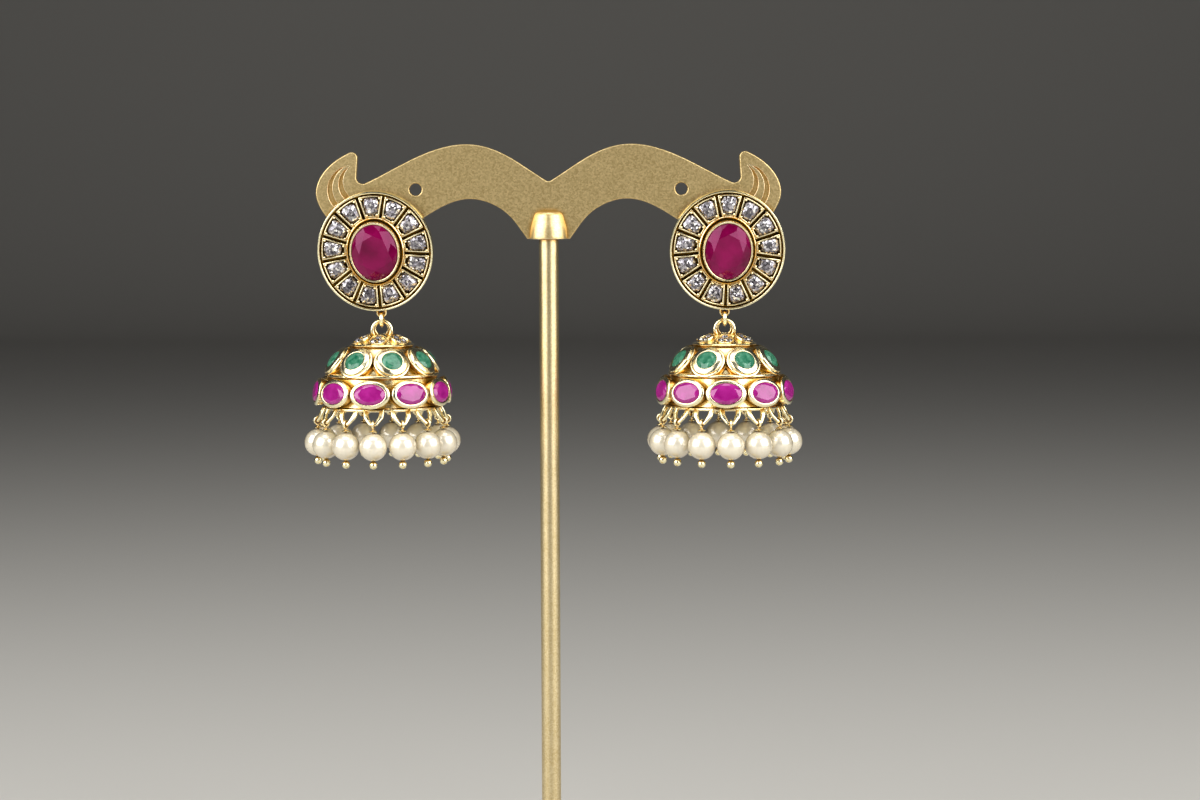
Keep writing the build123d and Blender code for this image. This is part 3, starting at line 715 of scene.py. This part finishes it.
def addBail(shape, place):
    # a ring with a plate inside it, and a raised lip round the drop-shaped hole
    ring, wire, hole = bell["bailRing"], bell["bailWire"], bell["bailHole"]
    rise = ring - wire - hole
    lip, thick, steps = bell["bailLip"], bell["bailPlateHalf"], bell["bailSteps"]
    bail = place @ Matrix.Translation((0, 0, bell["bailTop"] - ring - wire))
    bail = bail @ Matrix.Rotation(math.pi / 2, 4, "X")
    addRows(shape, ringRows(ring, wireSection(wire, 16), steps), bail, ring=True)

    def holeEdge(grow):
        radius, tip = hole + grow, bell["bailTip"] + grow * bell["bailTip"] / hole
        half = math.acos(radius / tip)
        points = []
        for k in range(steps):
            a = 2 * math.pi * k / steps - math.pi / 2
            fromTip = abs((a + math.pi / 2 + math.pi) % (2 * math.pi) - math.pi)
            reach = radius if fromTip > half else radius / math.cos(half - fromTip)
            points.append((reach * math.cos(a), rise + reach * math.sin(a)))
        return points

    inner, middle = holeEdge(0.06), holeEdge(lip)
    angles = [2 * math.pi * k / steps - math.pi / 2 for k in range(steps)]
    outer = [(bell["bailPlate"] * math.cos(a), bell["bailPlate"] * math.sin(a)) for a in angles]
    plate = [(inner, -thick), (outer, -thick), (outer, thick), (inner, thick)]
    addRows(shape, [[(x, y, z) for x, y in edge] for edge, z in plate], bail, ring=True)
    lipRows = []
    for k, (x, y) in enumerate(middle):
        inward = Vector((inner[k][0] - x, inner[k][1] - y, 0)).normalized()
        lipRows.append([Vector((x, y, 0)) + inward * across + Vector((0, 0, 1.15 * up))
                        for across, up in wireSection(lip, 10)])
    addRows(shape, lipRows, bail, ring=True)


tulip = {
    "corners": [(-1.2, 0.35, 0), (-1.12, -0.75, 0), (-0.42, -2.0, 0),
                (0.42, -2.0, 0), (1.12, -0.75, 0), (1.2, 0.35, 0)],
    "radii": [0.9, 0.4, 0.4, 0.9], "footTop": 1.75, "flare": 0.7,
    "halfWire": 0.25, "armWider": 0.12, "armThicker": 0.03, "groove": 0.08,
}


def rimLoop():
    # a tulip of grooved band, wide at its arms and drawn in where a pin's eye rides on it
    path = roundedPath(tulip["corners"], tulip["radii"], 6)
    wire = tulip["halfWire"]
    rows = []
    for i, point in enumerate(path):
        ahead = (path[min(i + 1, len(path) - 1)] - path[max(i - 1, 0)]).normalized()
        across = ahead.cross(Vector((0, 0, 1))).normalized()
        arm = min(1.0, max(0.0, (point.y + tulip["footTop"]) / tulip["flare"]))
        section = groovedSection(wire + tulip["armWider"] * arm, wire + tulip["armThicker"] * arm,
                                 tulip["groove"] * arm)
        rows.append([point + across * a + Vector((0, 0, b)) for a, b in section])
    return rows


def bellTrim(side, place):
    # cups, leaf pads, top ring and rim loops, soldered to the shell
    shape = newShape()
    turn = earrings[side]["bellTurn"]
    w, h = bell["rubyW"], bell["rubyH"]
    # rows of (wider, taller, level) than the stone
    rubyRows = [(0.1, 0.1, -1.5), (0.4, 0.34, -0.7), (0.56, 0.46, -0.3), (0.6, 0.5, -0.2),
                (0.59, 0.49, -0.1), (0.53, 0.44, -0.02), (0.42, 0.35, 0.05), (0.26, 0.23, 0.11),
                (0.12, 0.11, 0.15), (0.04, 0.04, 0.16), (-0.02, -0.02, 0.13), (-0.03, -0.03, 0.08),
                (0.03, 0.03, 0.05), (0.03, 0.03, -0.2), (-1.2, -0.8, -0.9)]
    for k in range(bell["rubyCount"]):
        cup = place @ onBell(bell["rubyPlace"], turn + k * 360 / bell["rubyCount"])
        addRows(shape, [ovalRow(w + a, h + b, z, 48) for a, b, z in rubyRows], cup)
    e = bell["emeraldR"]
    # rows of (radius, level)
    emeraldRows = [(2.5, -1.5), (2.65, -0.66), (2.68, -0.54), (2.64, -0.45), (2.55, -0.4), (2.4, -0.38),
                   (2.36, -0.3), (2.36, -0.18), (2.31, -0.1), (2.2, -0.03), (2.0, 0.05), (e + 0.2, 0.12),
                   (e + 0.07, 0.16), (e - 0.02, 0.13), (e - 0.03, 0.08), (e + 0.03, 0.05), (e + 0.03, -0.2),
                   (0.5, -0.9)]
    for k in range(bell["emeraldCount"]):
        angle = turn + bell["emeraldTurn"] + k * 360 / bell["emeraldCount"]
        addRows(shape, lathe(emeraldRows, 48), place @ onBell(bell["emeraldPlace"], angle))
    lw, ll = bell["leafW"], bell["leafL"]
    leafRows = [(0, -0.5), (0, 0.4), (0.03, 0.48), (0.1, 0.52), (0.17, 0.5), (0.22, 0.4)]
    for k in range(bell["leafCount"]):
        pad = place @ onBell(bell["leafPlace"], turn + k * 360 / bell["leafCount"])
        addRows(shape, [ovalRow(lw - d, ll - d, z, 32) for d, z in leafRows], pad)
        for radial, tangential in bell["leafStones"]:
            seat = pad @ Matrix.Translation((tangential, -radial, 0))
            for i in range(3):
                a = math.radians(60 + 120 * i)
                out, level = bell["grainRing"], bell["grainLevel"]
                grain = Matrix.Translation((out * math.cos(a), out * math.sin(a), level))
                addRows(shape, ballRows(bell["grain"], 0, 8), seat @ grain)
    addBail(shape, place)
    loop = rimLoop()
    for k in range(bell["loops"]):
        angle = earrings[side]["pearlTurn"] + k * 360 / bell["loops"]
        addRows(shape, loop, place @ onBell((bell["loopRoot"], 0.0, bell["loopLean"]), angle))
    makePiece(side + "_bell_trim", shape, earringGold, side + "_drop", side + "_dome_shell")


fringe = {"count": 14, "radius": 2.05, "ring": 9.68, "bore": 0.3, "wire": 0.17, "eye": 0.5, "eyeZ": -1.78,
          "cap": 0.6, "ball": 0.6, "play": 0.1}


def pearlPlace(angle):
    a = math.radians(angle)
    spot = (fringe["ring"] * math.sin(a), -fringe["ring"] * math.cos(a), 0)
    return Matrix.Translation(spot) @ Matrix.Rotation(a, 4, "Z")


def pearlString(side, place):
    shape = newShape()
    r = fringe["radius"]
    mouth = math.degrees(math.asin(fringe["bore"] / r))
    profile = arcPoints((0, -pearlDrop), r, -90 + mouth, 90 - mouth, 22)
    for k in range(fringe["count"]):
        spot = place @ pearlPlace(earrings[side]["pearlTurn"] + k * 360 / fringe["count"])
        addRows(shape, lathe(profile, 40), spot, ring=True)
    makePiece(side + "_pearl_fringe", shape, nacre, side + "_drop", side + "_pearls")


def headPins(side, place):
    shape = newShape()
    top = -pearlDrop + fringe["radius"] + fringe["play"]
    foot = -pearlDrop - fringe["radius"] - fringe["play"]
    cap, wire = fringe["cap"], fringe["wire"]
    capRows = [(cap * 0.8, top), (cap, top + 0.06), (cap, top + 0.13), (cap * 0.7, top + 0.22),
               (wire, top + 0.3)]
    stem = [(wire, fringe["eyeZ"] - fringe["eye"]), (wire, foot - 0.2)]
    for k in range(fringe["count"]):
        spot = place @ pearlPlace(earrings[side]["pearlTurn"] + k * 360 / fringe["count"])
        eye = Matrix.Translation((0, 0, fringe["eyeZ"])) @ Matrix.Rotation(math.pi / 2, 4, "Y")
        addRows(shape, ringRows(fringe["eye"], wireSection(wire, 10), 28), spot @ eye, ring=True)
        addRows(shape, lathe(capRows, 20), spot)
        addRows(shape, lathe(stem, 12), spot)
        addRows(shape, ballRows(fringe["ball"], foot - fringe["ball"] + 0.08, 20), spot)
    makePiece(side + "_head_pins", shape, earringGold, side + "_drop", side + "_pearl_pins")


def dressStones():
    # the stones keep their cut, and get their glass
    looks = {"stud_ruby": centreRuby, "stud_crystals": zirconia, "crown_crystals": zirconia,
             "ruby_": bandRuby, "emerald_": bandEmerald}
    for name, node in nodes.items():
        for part, material in looks.items():
            if name.split("_", 1)[1].startswith(part):
                node.data.materials.clear()
                node.data.materials.append(material)


for side in earrings:
    studCasting(side)
    linkRing(side)
    place = bellPlace(side)
    bellWall(side, place)
    bellTrim(side, place)
    pearlString(side, place)
    headPins(side, place)
    print(side, "earring made")
dressStones()


studio = {
    "floorFront": 1.5, "floorDepth": 2.2, "halfWidth": 3.0, "wallHeight": 1.6, "bend": 0.5,
    "floorColour": "#C4C1BA", "roomColour": "#C8C8CC", "roomStrength": 0.06, "lampAim": (0, 0, 0.09),
}


def paleSweep():
    # a floor that curves up into a wall
    depth, bend = studio["floorDepth"], studio["bend"]
    profile = [(-studio["floorFront"], 0.0), (depth - bend, 0.0)]
    profile += arcPoints((depth - bend, bend), bend, -90, 0, 12)[1:]
    profile.append((depth, studio["wallHeight"]))
    points, faces = [], []
    for y, z in profile:
        points += [(-studio["halfWidth"], y, z), (studio["halfWidth"], y, z)]
    for i in range(len(profile) - 1):
        faces.append((2 * i, 2 * i + 1, 2 * i + 3, 2 * i + 2))
    mesh = bpy.data.meshes.new("studio sweep")
    mesh.from_pydata(points, [], faces)
    mesh.polygons.foreach_set("use_smooth", [True] * len(faces))
    sweep = newObject("studio sweep", mesh)
    paper = newMaterial("matt paper", {"Roughness": 0.9, "Base Color": srgb(studio["floorColour"])})[0]
    mesh.materials.append(paper)


softboxes = [                              # metres and watts
    {"name": "left softbox", "at": (-0.408, -0.286, 0.322), "size": (0.6, 0.55), "power": 4.2},
    {"name": "right softbox", "at": (0.408, -0.286, 0.322), "size": (0.6, 0.55), "power": 4.2},
    {"name": "top softbox", "at": (0.0, -0.1, 0.66), "size": (0.5, 0.3), "power": 1.2},
]


def softbox(choice):
    lamp = bpy.data.lights.new(choice["name"], "AREA")
    lamp.shape = "RECTANGLE"
    lamp.size, lamp.size_y = choice["size"]
    lamp.energy = choice["power"]
    holder = newObject(choice["name"], lamp)
    holder.location = choice["at"]
    aim = Vector(studio["lampAim"]) - holder.location
    holder.rotation_euler = aim.to_track_quat("-Z", "Y").to_euler()


def roomLight():
    # a dim, even room light
    world = bpy.data.worlds.new("studio room")
    bpy.context.scene.world = world
    world.use_nodes = True
    back = world.node_tree.nodes["Background"]
    back.inputs["Color"].default_value = srgb(studio["roomColour"])
    back.inputs["Strength"].default_value = studio["roomStrength"]


# millimetres and degrees
view = {"aim": (7.56, 0.0, 86.74), "distance": 400.0, "elevation": 4.5, "lens": 80.0, "roll": -0.2}


def setCamera():
    camera = bpy.data.cameras.new("camera")
    camera.lens = view["lens"]
    camera.clip_start = 0.01
    camera.clip_end = 10.0
    holder = newObject("camera", camera)
    tilt = math.radians(view["elevation"])
    aim = Vector(view["aim"]) * mm
    back = Vector((0, -math.cos(tilt), math.sin(tilt)))
    holder.location = aim + back * view["distance"] * mm
    turn = back.to_track_quat("Z", "Y").to_matrix().to_4x4()
    turn = turn @ Matrix.Rotation(math.radians(view["roll"]), 4, "Z")
    holder.rotation_euler = turn.to_euler()
    bpy.context.scene.camera = holder


paleSweep()
for choice in softboxes:
    softbox(choice)
roomLight()
setCamera()
bpy.context.scene.view_settings.view_transform = "Standard"
print("studio made")
